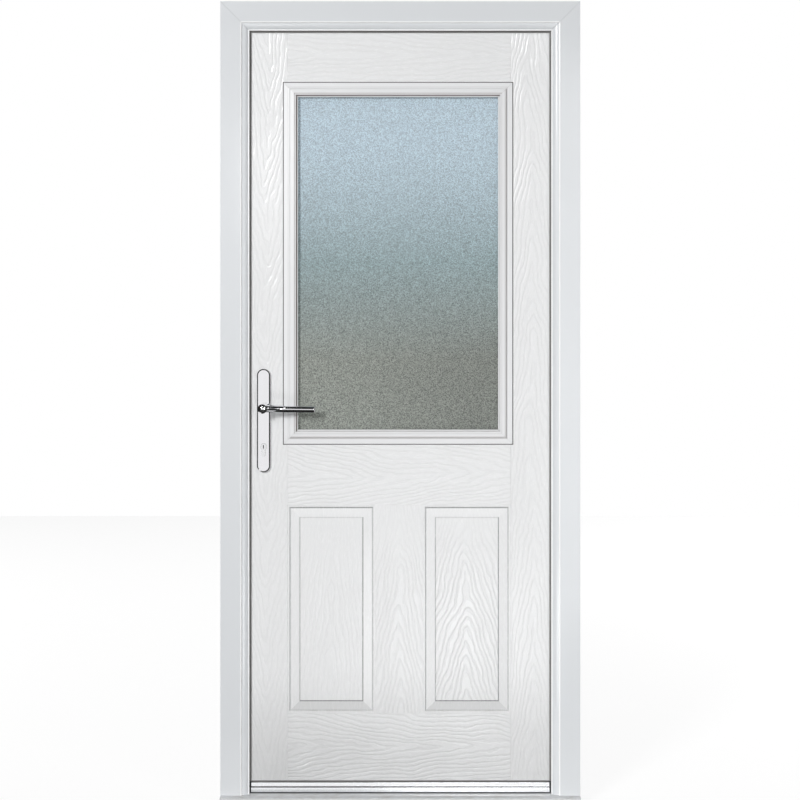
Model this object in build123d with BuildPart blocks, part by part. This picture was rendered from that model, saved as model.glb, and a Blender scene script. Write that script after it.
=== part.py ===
"""Half-glazed composite entrance door in a PVC-u frame, on a low aluminium threshold and a stub sill.

Millimetres. X runs to the right as seen from outside, Y runs into the building and Z is up.
The origin is in the middle of the sill's underside, below the middle of the frame's depth.
The leaf is hung on the right and opens inwards.
"""

import os

from build123d import *

os.makedirs("parts", exist_ok=True)

# Outer frame: sizes over everything, above the sill
frame_width = 920.0
frame_height = 2030.0
frame_depth = 70.0

# Frame section: distances in from the outer edge, and depths back from the outside face
face_width = 54.5
nose_radius = 3.0
nose_step = 5.0
ovolo_fall = 8.0
sightline = 73.0
lip_width = 2.8
lip_height = 0.8
lip_round = 0.7
lip_back = 21.5
rebate_width = 55.5

# Frame seal: a bulb on the back of the lip that stops just short of the leaf
seal_width = 11.0
seal_show = 4.0
seal_corner = 1.6
seal_clearance = 0.3

# Stub sill
sill_height = 30.0
sill_projection = 19.0
sill_fall = 2.0
sill_nose_radius = 3.0
sill_cap_thickness = 2.5
drip_inset = 7.0
drip_width = 4.0
drip_depth = 3.0

# Low threshold
threshold_setback = 22.0
threshold_height = 26.5
threshold_step = 14.5
threshold_tread = 5.0
threshold_tread_rise = 1.5
threshold_radius = 1.5
threshold_seat = 15.0
threshold_back_height = 16.0
threshold_back_inset = 3.0
threshold_foot_height = 3.0
threshold_foot_inset = 3.0
threshold_end_gap = 4.0
threshold_seal_width = 10.0
threshold_seal_clearance = 0.5

# Door leaf
leaf_thickness = 44.0
edge_gap = 5.0
bottom_gap = 5.2
skin_thickness = 2.5
edge_thickness = 3.0

# Layout of the leaf: widths of its stiles and muntin, heights of its rails and lower panels
lock_stile = 110.0
hinge_stile = 116.0
muntin_width = 124.0
bottom_rail = 173.0
lock_rail = 158.0
top_rail = 145.0
panel_height = 534.0

# Raised and fielded panels pressed into both skins
bead_width = 4.0
bead_step = 0.8
bead_slope = 0.4
drop_width = 2.5
drop_depth = 5.8
quirk_width = 1.4
quirk_draft = 0.4
bevel_foot_depth = 4.4
bevel_width = 22.0
bevel_top_depth = 1.6
field_quirk_depth = 3.0
field_depth = 1.2

# Glazing cassette, which laps over the stiles, and the sealed unit that its two halves clamp
lock_stile_lap = 10.0
hinge_stile_lap = 4.5
cassette_width = 36.5
cassette_edge = 2.8
cassette_edge_radius = 1.0
cassette_band_width = 11.5
cassette_band_height = 4.4
cassette_cove_width = 6.0
cassette_height = 11.5
cassette_crown_fall = 0.8
cassette_crown_width = 9.7
cassette_groove_width = 1.2
cassette_groove_depth = 1.6
cassette_lip_width = 3.6
cassette_lip_fall = 0.5
cassette_step_width = 1.0
cassette_step_height = 5.5
cassette_bead_fall = 2.0
flange_overlap = 19.0
cassette_play = 0.4
pane_thickness = 4.0
spacer_thickness = 16.0
spacer_width = 12.0
unit_edge_clearance = 4.0

# Lever handle and long backplate, alike on both faces
backset = 48.5
spindle_rise = 958.3
lock_centres = 100.0
plate_width = 33.5
plate_height = 265.0
plate_top = 99.5
plate_thickness = 9.0
plate_bevel_width = 2.8
plate_bevel_depth = 1.6
lever_length = 135.5
lever_radius = 8.8
lever_end_bevel = 2.5
lever_standoff = 48.0
lever_droop = 1.5
hub_radius = 12.0
hub_proud = 1.5
hub_bevel = 2.5
neck_radius = 8.0
neck_clearance = 0.1
hub_clearance = 0.3
spindle_side = 8.0
spindle_clearance = 0.1
spindle_grip = 18.0
spindle_hole_radius = 10.0

# Profile cylinder lock
cylinder_radius = 8.5
cylinder_leg_width = 10.0
cylinder_height = 33.0
cylinder_proud = 2.0
cylinder_clearance = 0.3
plug_radius = 6.5
plug_clearance = 0.05
plug_length = 29.0
keyway_width = 2.4
keyway_height = 9.0
keyway_depth = 20.0

# Lock strip on the leaf's edge, and the keeps let into the jamb
lock_strip_margin = 180.0
lock_strip_width = 20.0
hook_inset = 330.0
hook_slot_width = 12.0
hook_slot_height = 40.0
latch_slot_height = 22.0
slot_pocket_depth = 14.0
latch_clearance = 0.3
latch_length = 12.0
keep_width = 26.0
keep_height = 110.0
keep_thickness = 3.0
keep_corner = 6.0

# Flag hinges on the inside face
hinge_inset = 190.0
flag_height = 92.0
flag_width = 42.0
flag_thickness = 5.0
flag_corner = 3.0
flag_web = 5.0
knuckle_radius = 9.0
knuckle_stand = 11.0
knuckle_gap = 0.5
plate_knuckle_gap = 1.5
pin_radius = 4.0
pin_clearance = 0.05
pin_proud = 2.2

# Places that follow from the sizes above
frame_left = -frame_width / 2
frame_right = frame_width / 2
frame_top = sill_height + frame_height
frame_front = -frame_depth / 2
frame_back = frame_depth / 2
lip_start = sightline - lip_width
ovolo_foot = nose_step + ovolo_fall
lip_front = ovolo_foot - lip_height
rebate_face = frame_front + lip_back
sight_half = frame_width / 2 - sightline
rebate_half = frame_width / 2 - rebate_width

leaf_half = rebate_half - edge_gap
leaf_top = frame_top - rebate_width - edge_gap
leaf_bottom = sill_height + threshold_height + bottom_gap
leaf_height = leaf_top - leaf_bottom
leaf_middle_z = (leaf_top + leaf_bottom) / 2
leaf_back = frame_back
leaf_front = leaf_back - leaf_thickness
leaf_middle = (leaf_front + leaf_back) / 2
core_front = leaf_front + skin_thickness

panel_width = (2 * leaf_half - lock_stile - hinge_stile - muntin_width) / 2
panel_centres = [lock_stile - leaf_half + panel_width / 2, leaf_half - hinge_stile - panel_width / 2]
panel_middle_z = leaf_bottom + bottom_rail + panel_height / 2

glazing_left = lock_stile - lock_stile_lap - leaf_half
glazing_right = leaf_half - hinge_stile + hinge_stile_lap
glazing_foot = leaf_bottom + bottom_rail + panel_height + lock_rail
glazing_top = leaf_top - top_rail
glazing_width = glazing_right - glazing_left
glazing_height = glazing_top - glazing_foot
glazing_middle_x = (glazing_left + glazing_right) / 2
glazing_middle_z = (glazing_foot + glazing_top) / 2
aperture_width = glazing_width - 2 * flange_overlap
aperture_height = glazing_height - 2 * flange_overlap
unit_width = aperture_width - 2 * unit_edge_clearance
unit_height = aperture_height - 2 * unit_edge_clearance
unit_thickness = 2 * pane_thickness + spacer_thickness
unit_front = leaf_middle - unit_thickness / 2

spindle_x = backset - leaf_half
spindle_z = leaf_bottom + spindle_rise
cylinder_z = spindle_z - lock_centres
plate_middle_z = spindle_z + plate_top - plate_height / 2
plate_front = leaf_front - plate_thickness
lock_strip_length = leaf_height - 2 * lock_strip_margin
lock_slots = {
    "upper_hook": (leaf_top - hook_inset, hook_slot_height),
    "latch": (spindle_z, latch_slot_height),
    "lower_hook": (leaf_bottom + hook_inset, hook_slot_height),
}

hinge_x = leaf_half + edge_gap / 2
hinge_y = leaf_back + knuckle_stand
hinge_heights = {
    "upper": leaf_top - hinge_inset,
    "middle": leaf_middle_z,
    "lower": leaf_bottom + hinge_inset,
}

# Planes: facing(y) looks out of the house, with X to the right and Z up in its sketches
leaf_mirror = Plane.XZ.offset(-leaf_middle)
lock_jamb_plane = Plane((frame_left, frame_front, sill_height), x_dir=(1, 0, 0), z_dir=(0, 0, 1))
hinge_jamb_plane = Plane((frame_right, frame_front, frame_top), x_dir=(-1, 0, 0), z_dir=(0, 0, -1))
head_plane = Plane((frame_left, frame_front, frame_top), x_dir=(0, 0, -1), z_dir=(1, 0, 0))
lock_mitre = Plane((frame_left, 0, frame_top), z_dir=(1, 0, 1))
hinge_mitre = Plane((frame_right, 0, frame_top), z_dir=(-1, 0, 1))


def facing(y):
    """Plane at depth y that faces the outside."""
    return Plane.XZ.offset(-y)


def write(piece, name):
    """Labels a finished piece and writes its STEP file."""
    piece.part.label = name
    export_step(piece.part, f"parts/{name}.step")


# Frame: three lengths of one section, mitred and welded at the head

def frame_section(plane):
    """Flat face and rounded nose, an ovolo that falls to the lip at the sightline, and the leaf's rebate behind it."""
    with BuildSketch(plane) as section:
        with BuildLine():
            Polyline((0, frame_depth), (0, 0), (face_width - nose_radius, 0))
            TangentArc((face_width - nose_radius, 0), (face_width, nose_radius), tangent=(1, 0))
            Line((face_width, nose_radius), (face_width, nose_step))
            TangentArc((face_width, nose_step), (lip_start, ovolo_foot), tangent=(1, 0))
            Polyline((lip_start, ovolo_foot), (lip_start, lip_front), (sightline - lip_round, lip_front))
            TangentArc((sightline - lip_round, lip_front), (sightline, lip_front + lip_round), tangent=(1, 0))
            Polyline(
                (sightline, lip_front + lip_round),
                (sightline, lip_back),
                (rebate_width, lip_back),
                (rebate_width, frame_depth),
                (0, frame_depth),
            )
        make_face()
    return section.sketch


with BuildPart() as lock_jamb:
    extrude(frame_section(lock_jamb_plane), amount=frame_height)
    split(bisect_by=lock_mitre, keep=Keep.BOTTOM)
    for slot_z, slot_height in lock_slots.values():
        with BuildSketch(Plane.YZ.offset(-rebate_half)):
            with Locations((leaf_middle, slot_z)):
                RectangleRounded(keep_width, keep_height, keep_corner)
        extrude(amount=-keep_thickness, mode=Mode.SUBTRACT)
        with BuildSketch(Plane.YZ.offset(-rebate_half - keep_thickness)):
            with Locations((leaf_middle, slot_z)):
                Rectangle(hook_slot_width, slot_height)
        extrude(amount=-slot_pocket_depth, mode=Mode.SUBTRACT)
write(lock_jamb, "lock_jamb")

with BuildPart() as hinge_jamb:
    extrude(frame_section(hinge_jamb_plane), amount=frame_height)
    split(bisect_by=hinge_mitre, keep=Keep.BOTTOM)
write(hinge_jamb, "hinge_jamb")

with BuildPart() as frame_head:
    extrude(frame_section(head_plane), amount=frame_width)
    split(bisect_by=lock_mitre, keep=Keep.TOP)
    split(bisect_by=hinge_mitre, keep=Keep.TOP)
write(frame_head, "frame_head")


# Keeps: steel plates let in flush with the rebate, each with the slot that takes its bolt

for keep_name, (slot_z, slot_height) in lock_slots.items():
    with BuildPart() as keep:
        with BuildSketch(Plane.YZ.offset(-rebate_half)):
            with Locations((leaf_middle, slot_z)):
                RectangleRounded(keep_width, keep_height, keep_corner)
                Rectangle(hook_slot_width, slot_height, mode=Mode.SUBTRACT)
        extrude(amount=-keep_thickness)
    write(keep, f"{keep_name}_keep")


# Seals: the bulb behind the lip, mitred with the frame, from the leaf's foot upwards

def seal_section(plane):
    """Flat-backed bulb on the back of the lip, showing a little past its edge."""
    thickness = leaf_front - rebate_face - seal_clearance
    with BuildSketch(plane) as section:
        with Locations((sightline + seal_show - seal_width / 2, lip_back + thickness / 2)):
            Rectangle(seal_width, thickness)
        fillet(section.vertices().group_by(Axis(plane.origin, plane.y_dir))[-1], seal_corner)
    return section.sketch


jamb_seal_length = frame_top - leaf_bottom
with BuildPart() as lock_jamb_seal:
    extrude(seal_section(lock_jamb_plane.offset(leaf_bottom - sill_height)), amount=jamb_seal_length)
    split(bisect_by=lock_mitre, keep=Keep.BOTTOM)
write(lock_jamb_seal, "lock_jamb_seal")

with BuildPart() as hinge_jamb_seal:
    extrude(seal_section(hinge_jamb_plane), amount=jamb_seal_length)
    split(bisect_by=hinge_mitre, keep=Keep.BOTTOM)
write(hinge_jamb_seal, "hinge_jamb_seal")

with BuildPart() as head_seal:
    extrude(seal_section(head_plane), amount=frame_width)
    split(bisect_by=lock_mitre, keep=Keep.TOP)
    split(bisect_by=hinge_mitre, keep=Keep.TOP)
write(head_seal, "head_seal")


# Sill: a stub sill as wide as the frame, with a sloping nose, a drip groove and a cap on each end

def sill_section(plane):
    """Flat seat under the frame, a fall to the rounded nose, and a drip groove underneath."""
    nose = frame_front - sill_projection
    nose_top = sill_height - sill_fall
    with BuildSketch(plane) as section:
        with BuildLine():
            Polyline((frame_back, 0), (frame_back, sill_height), (frame_front, sill_height))
            slope = Line((frame_front, sill_height), (nose + sill_nose_radius, nose_top))
            TangentArc(slope @ 1, (nose, nose_top - sill_nose_radius), tangent=slope % 1)
            Polyline(
                (nose, nose_top - sill_nose_radius),
                (nose, 0),
                (nose + drip_inset, 0),
                (nose + drip_inset, drip_depth),
                (nose + drip_inset + drip_width, drip_depth),
                (nose + drip_inset + drip_width, 0),
                (frame_back, 0),
            )
        make_face()
    return section.sketch


with BuildPart() as sill:
    extrude(sill_section(Plane.YZ), amount=frame_width / 2 - sill_cap_thickness, both=True)
write(sill, "sill")

with BuildPart() as sill_end_caps:
    extrude(sill_section(Plane.YZ.offset(frame_left)), amount=sill_cap_thickness)
    extrude(sill_section(Plane.YZ.offset(frame_right)), amount=-sill_cap_thickness)
write(sill_end_caps, "sill_end_caps")


# Threshold: a stepped extrusion between the jambs, closed by a block at each end, with a seal on top

threshold_front = frame_front + threshold_setback
threshold_back = frame_back - threshold_back_inset
threshold_top = sill_height + threshold_height
threshold_riser = threshold_front + threshold_tread
threshold_seat_back = threshold_riser + threshold_seat
threshold_half = sight_half - threshold_end_gap


def threshold_section(plane):
    """Recessed foot, low front step, tread, riser and flat seat below the leaf, falling away to the inside."""
    foot_front = threshold_front + threshold_foot_inset
    foot_top = sill_height + threshold_foot_height
    step_top = sill_height + threshold_step
    with BuildSketch(plane) as section:
        with BuildLine():
            foot = Polyline((foot_front, sill_height), (foot_front, foot_top), (threshold_front, foot_top))
            outline = FilletPolyline(
                foot @ 1,
                (threshold_front, step_top),
                (threshold_riser, step_top + threshold_tread_rise),
                (threshold_riser, threshold_top),
                (threshold_seat_back, threshold_top),
                (threshold_back, sill_height + threshold_back_height),
                (threshold_back, sill_height),
                radius=threshold_radius,
            )
            Line(outline @ 1, foot @ 0)
        make_face()
    return section.sketch


with BuildPart() as threshold:
    extrude(threshold_section(Plane.YZ), amount=threshold_half, both=True)
write(threshold, "threshold")

with BuildPart() as threshold_end_blocks:
    end_length = rebate_half - threshold_half
    extrude(threshold_section(Plane.YZ.offset(-rebate_half)), amount=end_length)
    extrude(threshold_section(Plane.YZ.offset(rebate_half)), amount=-end_length)
    add(lock_jamb.part, mode=Mode.SUBTRACT)
    add(hinge_jamb.part, mode=Mode.SUBTRACT)
write(threshold_end_blocks, "threshold_end_blocks")

with BuildPart() as threshold_seal:
    seal_height = bottom_gap - threshold_seal_clearance
    with BuildSketch(Plane.YZ) as bulb:
        with Locations((threshold_riser + threshold_seat / 2, threshold_top + seal_height / 2)):
            Rectangle(threshold_seal_width, seal_height)
        fillet(bulb.vertices().group_by(Axis.Z)[-1], seal_corner)
    extrude(amount=threshold_half, both=True)
write(threshold_seal, "threshold_seal")


# Leaf: core, two pressed skins and four edge bands

def panel_recess(face_y, centre_x):
    """What the moulding of one panel takes out of a flat face at face_y: bead, drop, bevel and field, with quirks."""
    drop_end = bead_width + drop_width
    bevel_foot = drop_end + quirk_width
    bevel_start = bevel_foot + quirk_draft
    bevel_end = bevel_start + bevel_width
    field_foot = bevel_end + quirk_draft + quirk_width
    stages = [
        ((0, 0), (bead_slope, bead_step), Mode.ADD),
        ((bead_width, bead_step), (drop_end, drop_depth), Mode.ADD),
        ((bevel_foot, drop_depth), (bevel_start, bevel_foot_depth), Mode.SUBTRACT),
        ((bevel_start, bevel_foot_depth), (bevel_end, bevel_top_depth), Mode.SUBTRACT),
        ((bevel_end, bevel_top_depth), (bevel_end + quirk_draft, field_quirk_depth), Mode.ADD),
        ((field_foot, field_quirk_depth), (field_foot + quirk_draft, field_depth), Mode.SUBTRACT),
    ]
    with BuildPart() as recess:
        for start, end, mode in stages:
            for inset, depth in (start, end):
                with BuildSketch(facing(face_y + depth)):
                    with Locations((centre_x, panel_middle_z)):
                        Rectangle(panel_width - 2 * inset, panel_height - 2 * inset)
            loft(mode=mode)
    return recess.part


def cylinder_profile(plane, clearance=0.0):
    """Keyhole-shaped outline of the lock cylinder, grown by a clearance."""
    leg_radius = cylinder_leg_width / 2
    leg_drop = cylinder_height - cylinder_radius - leg_radius
    with BuildSketch(plane) as outline:
        with Locations((spindle_x, cylinder_z)):
            Circle(cylinder_radius + clearance)
        with Locations((spindle_x, cylinder_z - leg_drop / 2)):
            Rectangle(cylinder_leg_width + 2 * clearance, leg_drop)
        with Locations((spindle_x, cylinder_z - leg_drop)):
            Circle(leg_radius + clearance)
    return outline.sketch


with BuildPart() as door_core:
    with BuildSketch(facing(core_front)):
        with Locations((0, leaf_middle_z)):
            Rectangle(2 * (leaf_half - edge_thickness), leaf_height - 2 * edge_thickness)
        with Locations((glazing_middle_x, glazing_middle_z)):
            Rectangle(aperture_width, aperture_height, mode=Mode.SUBTRACT)
        with Locations((spindle_x, spindle_z)):
            Circle(spindle_hole_radius, mode=Mode.SUBTRACT)
        add(cylinder_profile(facing(core_front), cylinder_clearance), mode=Mode.SUBTRACT)
    extrude(amount=-(leaf_thickness - 2 * skin_thickness))
    for panel_x in panel_centres:
        recess = panel_recess(core_front, panel_x)
        add(recess, mode=Mode.SUBTRACT)
        mirror(recess, about=leaf_mirror, mode=Mode.SUBTRACT)
    for slot_z, slot_height in lock_slots.values():
        with BuildSketch(Plane.YZ.offset(edge_thickness - leaf_half)):
            with Locations((leaf_middle, slot_z)):
                Rectangle(hook_slot_width, slot_height)
        extrude(amount=slot_pocket_depth, mode=Mode.SUBTRACT)
write(door_core, "door_core")

with BuildPart() as outer_skin:
    with BuildSketch(facing(leaf_front)):
        with Locations((0, leaf_middle_z)):
            Rectangle(2 * leaf_half, leaf_height)
        with Locations((glazing_middle_x, glazing_middle_z)):
            Rectangle(aperture_width, aperture_height, mode=Mode.SUBTRACT)
        with Locations((spindle_x, spindle_z)):
            Circle(spindle_hole_radius, mode=Mode.SUBTRACT)
        add(cylinder_profile(facing(leaf_front), cylinder_clearance), mode=Mode.SUBTRACT)
    extrude(amount=-skin_thickness)
    with BuildSketch(facing(core_front)):
        for panel_x in panel_centres:
            with Locations((panel_x, panel_middle_z)):
                Rectangle(panel_width, panel_height)
    extrude(amount=-drop_depth)
    for panel_x in panel_centres:
        add(panel_recess(leaf_front, panel_x), mode=Mode.SUBTRACT)
    add(door_core.part, mode=Mode.SUBTRACT)
write(outer_skin, "outer_skin")

with BuildPart() as inner_skin:
    mirror(outer_skin.part, about=leaf_mirror)
write(inner_skin, "inner_skin")

edge_depth = leaf_thickness - 2 * skin_thickness
with BuildPart() as lock_edge:
    with Locations((edge_thickness / 2 - leaf_half, leaf_middle, leaf_middle_z)):
        Box(edge_thickness, edge_depth, leaf_height)
    with BuildSketch(Plane.YZ.offset(-leaf_half)):
        with Locations((leaf_middle, leaf_middle_z)):
            SlotOverall(lock_strip_length, lock_strip_width, rotation=90)
    extrude(amount=edge_thickness, mode=Mode.SUBTRACT)
write(lock_edge, "lock_edge")

with BuildPart() as hinge_edge:
    with Locations((leaf_half - edge_thickness / 2, leaf_middle, leaf_middle_z)):
        Box(edge_thickness, edge_depth, leaf_height)
write(hinge_edge, "hinge_edge")

with BuildPart() as top_edge:
    with Locations((0, leaf_middle, leaf_top - edge_thickness / 2)):
        Box(2 * (leaf_half - edge_thickness), edge_depth, edge_thickness)
write(top_edge, "top_edge")

with BuildPart() as bottom_edge:
    with Locations((0, leaf_middle, leaf_bottom + edge_thickness / 2)):
        Box(2 * (leaf_half - edge_thickness), edge_depth, edge_thickness)
write(bottom_edge, "bottom_edge")


# Lock strip: a steel strip flush with the leaf's edge, with the latch drawn back in its slot

with BuildPart() as lock_strip:
    with BuildSketch(Plane.YZ.offset(-leaf_half)):
        with Locations((leaf_middle, leaf_middle_z)):
            SlotOverall(lock_strip_length, lock_strip_width, rotation=90)
        for slot_z, slot_height in lock_slots.values():
            with Locations((leaf_middle, slot_z)):
                Rectangle(hook_slot_width, slot_height, mode=Mode.SUBTRACT)
    extrude(amount=edge_thickness)
write(lock_strip, "lock_strip")

with BuildPart() as latch_bolt:
    with BuildSketch(Plane.YZ.offset(latch_clearance - leaf_half)):
        with Locations((leaf_middle, spindle_z)):
            Rectangle(hook_slot_width - 2 * latch_clearance, latch_slot_height - 2 * latch_clearance)
    extrude(amount=latch_length)
write(latch_bolt, "latch_bolt")


# Glazing: a moulded cassette half on each face clamps the sealed unit in the aperture

with BuildPart() as outer_glazing_frame:
    with BuildLine(facing(leaf_front)):
        outer_edge = Polyline(
            (glazing_left, glazing_foot),
            (glazing_right, glazing_foot),
            (glazing_right, glazing_top),
            (glazing_left, glazing_top),
            close=True,
        )
    with BuildSketch(Plane(outer_edge @ 0, x_dir=(0, 0, 1), z_dir=(1, 0, 0))):
        edge_top = cassette_edge + cassette_edge_radius
        crown_start = cassette_band_width + cassette_cove_width
        crown_end = crown_start + cassette_crown_width
        crown_low = cassette_height - cassette_crown_fall
        groove_end = crown_end + cassette_groove_width
        groove_floor = cassette_height - cassette_groove_depth
        lip_end = groove_end + cassette_lip_width
        lip_height = cassette_height - cassette_lip_fall
        bead_start = lip_end + cassette_step_width
        bead_height = lip_height - cassette_step_height
        leg_depth = unit_front - leaf_front
        leg_start = flange_overlap + cassette_play
        with BuildLine():
            Polyline((leg_start, 0), (0, 0), (0, cassette_edge))
            TangentArc((0, cassette_edge), (cassette_edge_radius, edge_top), tangent=(0, 1))
            Line((cassette_edge_radius, edge_top), (cassette_band_width, cassette_band_height))
            TangentArc(
                (cassette_band_width, cassette_band_height),
                (crown_start, crown_low),
                tangent=(1, 0),
            )
            Polyline(
                (crown_start, crown_low),
                (crown_end, cassette_height),
                (crown_end, groove_floor),
                (groove_end, groove_floor),
                (groove_end, lip_height),
                (lip_end, lip_height),
                (bead_start, bead_height),
                (cassette_width, bead_height - cassette_bead_fall),
                (cassette_width, -leg_depth),
                (leg_start, -leg_depth),
                (leg_start, 0),
            )
        make_face()
    sweep(path=outer_edge, transition=Transition.RIGHT)
write(outer_glazing_frame, "outer_glazing_frame")

with BuildPart() as inner_glazing_frame:
    mirror(outer_glazing_frame.part, about=leaf_mirror)
write(inner_glazing_frame, "inner_glazing_frame")

with BuildPart() as outer_pane:
    with Locations((glazing_middle_x, unit_front + pane_thickness / 2, glazing_middle_z)):
        Box(unit_width, pane_thickness, unit_height)
write(outer_pane, "outer_pane")

with BuildPart() as inner_pane:
    mirror(outer_pane.part, about=leaf_mirror)
write(inner_pane, "inner_pane")

with BuildPart() as spacer_bar:
    with BuildSketch(facing(unit_front + pane_thickness)):
        with Locations((glazing_middle_x, glazing_middle_z)):
            Rectangle(unit_width, unit_height)
            Rectangle(unit_width - 2 * spacer_width, unit_height - 2 * spacer_width, mode=Mode.SUBTRACT)
    extrude(amount=-spacer_thickness)
write(spacer_bar, "spacer_bar")


# Handle: a backplate on each face, and two levers on one square spindle

with BuildPart() as outer_backplate:
    with BuildSketch(facing(leaf_front)):
        with Locations((spindle_x, plate_middle_z)):
            SlotOverall(plate_height, plate_width, rotation=90)
    extrude(amount=plate_thickness)
    plate_face = outer_backplate.faces().sort_by(Axis.Y)[0]
    chamfer(plate_face.edges(), plate_bevel_width, plate_bevel_depth, reference=plate_face)
    with BuildSketch(facing(leaf_front)):
        with Locations((spindle_x, spindle_z)):
            Circle(neck_radius + neck_clearance)
        add(cylinder_profile(facing(leaf_front), cylinder_clearance))
    extrude(amount=plate_thickness, mode=Mode.SUBTRACT)
write(outer_backplate, "outer_backplate")

with BuildPart() as inner_backplate:
    mirror(outer_backplate.part, about=leaf_mirror)
write(inner_backplate, "inner_backplate")

hub_back = plate_front - hub_clearance
bar_y = leaf_front - lever_standoff
with BuildPart() as outer_lever:
    with BuildSketch(facing(hub_back)):
        with Locations((spindle_x, spindle_z)):
            Circle(hub_radius)
    extrude(amount=hub_back - bar_y + lever_radius + hub_proud)
    chamfer(outer_lever.faces().sort_by(Axis.Y)[0].edges(), hub_bevel)
    lever_root = Vector(spindle_x, bar_y, spindle_z)
    lever_run = Vector(lever_length, 0, -lever_droop)
    with BuildSketch(Plane(lever_root, z_dir=lever_run)):
        Circle(lever_radius)
    extrude(amount=lever_run.length)
    chamfer(outer_lever.faces().sort_by(Axis.X)[-1].edges(), lever_end_bevel)
    with BuildSketch(facing(hub_back)):
        with Locations((spindle_x, spindle_z)):
            Circle(neck_radius)
    extrude(amount=-(hub_clearance + plate_thickness))
    with BuildSketch(facing(leaf_front)):
        with Locations((spindle_x, spindle_z)):
            Rectangle(spindle_side + 2 * spindle_clearance, spindle_side + 2 * spindle_clearance)
    extrude(amount=spindle_grip, mode=Mode.SUBTRACT)
write(outer_lever, "outer_lever")

with BuildPart() as inner_lever:
    mirror(outer_lever.part, about=leaf_mirror)
write(inner_lever, "inner_lever")

with BuildPart() as spindle:
    with Locations((spindle_x, leaf_middle, spindle_z)):
        Box(spindle_side, leaf_thickness + 2 * (spindle_grip - spindle_clearance), spindle_side)
write(spindle, "spindle")


# Lock cylinder: one profile body through the leaf, with a turning plug in each end

cylinder_front = plate_front - cylinder_proud
with BuildPart() as lock_cylinder:
    cylinder_length = 2 * (leaf_middle - cylinder_front)
    extrude(cylinder_profile(facing(cylinder_front)), amount=-cylinder_length)
    for plug_face, direction in ((cylinder_front, -1), (2 * leaf_middle - cylinder_front, 1)):
        with BuildSketch(facing(plug_face)):
            with Locations((spindle_x, cylinder_z)):
                Circle(plug_radius + plug_clearance)
        extrude(amount=direction * (plug_length + plug_clearance), mode=Mode.SUBTRACT)
write(lock_cylinder, "lock_cylinder")

with BuildPart() as outer_key_plug:
    with BuildSketch(facing(cylinder_front)):
        with Locations((spindle_x, cylinder_z)):
            Circle(plug_radius)
    extrude(amount=-plug_length)
    with BuildSketch(facing(cylinder_front)):
        with Locations((spindle_x, cylinder_z)):
            Rectangle(keyway_width, keyway_height)
    extrude(amount=-keyway_depth, mode=Mode.SUBTRACT)
write(outer_key_plug, "outer_key_plug")

with BuildPart() as inner_key_plug:
    mirror(outer_key_plug.part, about=leaf_mirror)
write(inner_key_plug, "inner_key_plug")


# Hinges: a flag on the frame carries the lower knuckle and the pin, a flag on the leaf the upper one

knuckle_length = (flag_height - knuckle_gap) / 2


def hinge_flag(side, flag_z, knuckle_z):
    """Flag plate on the inside face, to the right of the pin for side 1 or to its left for side -1."""
    plate_start = knuckle_radius + plate_knuckle_gap
    web_start = edge_gap / 2
    web_end = plate_start + flag_web
    with BuildPart() as flag:
        with BuildSketch(facing(leaf_back)) as plate:
            with Locations((hinge_x + side * (plate_start + flag_width / 2), flag_z + flag_height / 2)):
                Rectangle(flag_width, flag_height)
            free_corners = plate.vertices().sort_by(Axis.X, reverse=side < 0)[-2:]
            fillet(free_corners, flag_corner)
        extrude(amount=-flag_thickness)
        with BuildSketch(Plane.XY.offset(knuckle_z)):
            with Locations((hinge_x, hinge_y)):
                Circle(knuckle_radius)
            with Locations((hinge_x + side * (web_start + web_end) / 2, leaf_back + knuckle_stand / 2)):
                Rectangle(web_end - web_start, knuckle_stand)
            with Locations((hinge_x, hinge_y)):
                Circle(pin_radius + pin_clearance, mode=Mode.SUBTRACT)
        extrude(amount=knuckle_length)
    return flag


for hinge_name, hinge_z in hinge_heights.items():
    flag_foot = hinge_z - flag_height / 2
    upper_knuckle = hinge_z + knuckle_gap / 2
    write(hinge_flag(1, flag_foot, flag_foot), f"{hinge_name}_hinge_frame_flag")
    write(hinge_flag(-1, flag_foot, upper_knuckle), f"{hinge_name}_hinge_door_flag")
    with BuildPart() as hinge_pin:
        with Locations((hinge_x, hinge_y, hinge_z)):
            Cylinder(pin_radius, flag_height + 2 * pin_proud)
    write(hinge_pin, f"{hinge_name}_hinge_pin")
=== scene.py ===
"""Half-glazed white entrance door in its frame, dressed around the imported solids.

Metres, in the solids' own frame: X to the right as seen from outside, Y into the building, Z up.
The sections follow the door as it is put together: sill, frame, threshold, leaf, glass, lock, hinges.
"""

import math

import bmesh
import bpy
from mathutils import Matrix, Vector


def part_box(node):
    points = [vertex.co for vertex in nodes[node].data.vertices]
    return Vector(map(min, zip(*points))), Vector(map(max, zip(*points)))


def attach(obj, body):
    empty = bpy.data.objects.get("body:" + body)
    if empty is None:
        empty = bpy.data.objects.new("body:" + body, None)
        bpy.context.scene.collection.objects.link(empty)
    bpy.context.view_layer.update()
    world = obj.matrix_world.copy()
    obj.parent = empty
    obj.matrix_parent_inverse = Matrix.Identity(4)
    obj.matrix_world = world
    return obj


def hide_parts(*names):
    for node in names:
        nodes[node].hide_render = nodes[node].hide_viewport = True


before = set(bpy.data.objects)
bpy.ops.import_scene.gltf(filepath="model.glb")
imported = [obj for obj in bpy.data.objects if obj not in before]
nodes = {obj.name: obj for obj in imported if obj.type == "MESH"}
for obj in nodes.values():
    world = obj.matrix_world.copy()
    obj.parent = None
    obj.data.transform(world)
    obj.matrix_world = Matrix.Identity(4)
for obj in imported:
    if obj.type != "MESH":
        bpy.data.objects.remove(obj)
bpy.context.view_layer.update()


# Stub sill
# A hollow white PVC-u extrusion that the whole door stands on, with a moulded cap glued on each end.
# Its top falls towards the outside, and dust settles on it.

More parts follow.
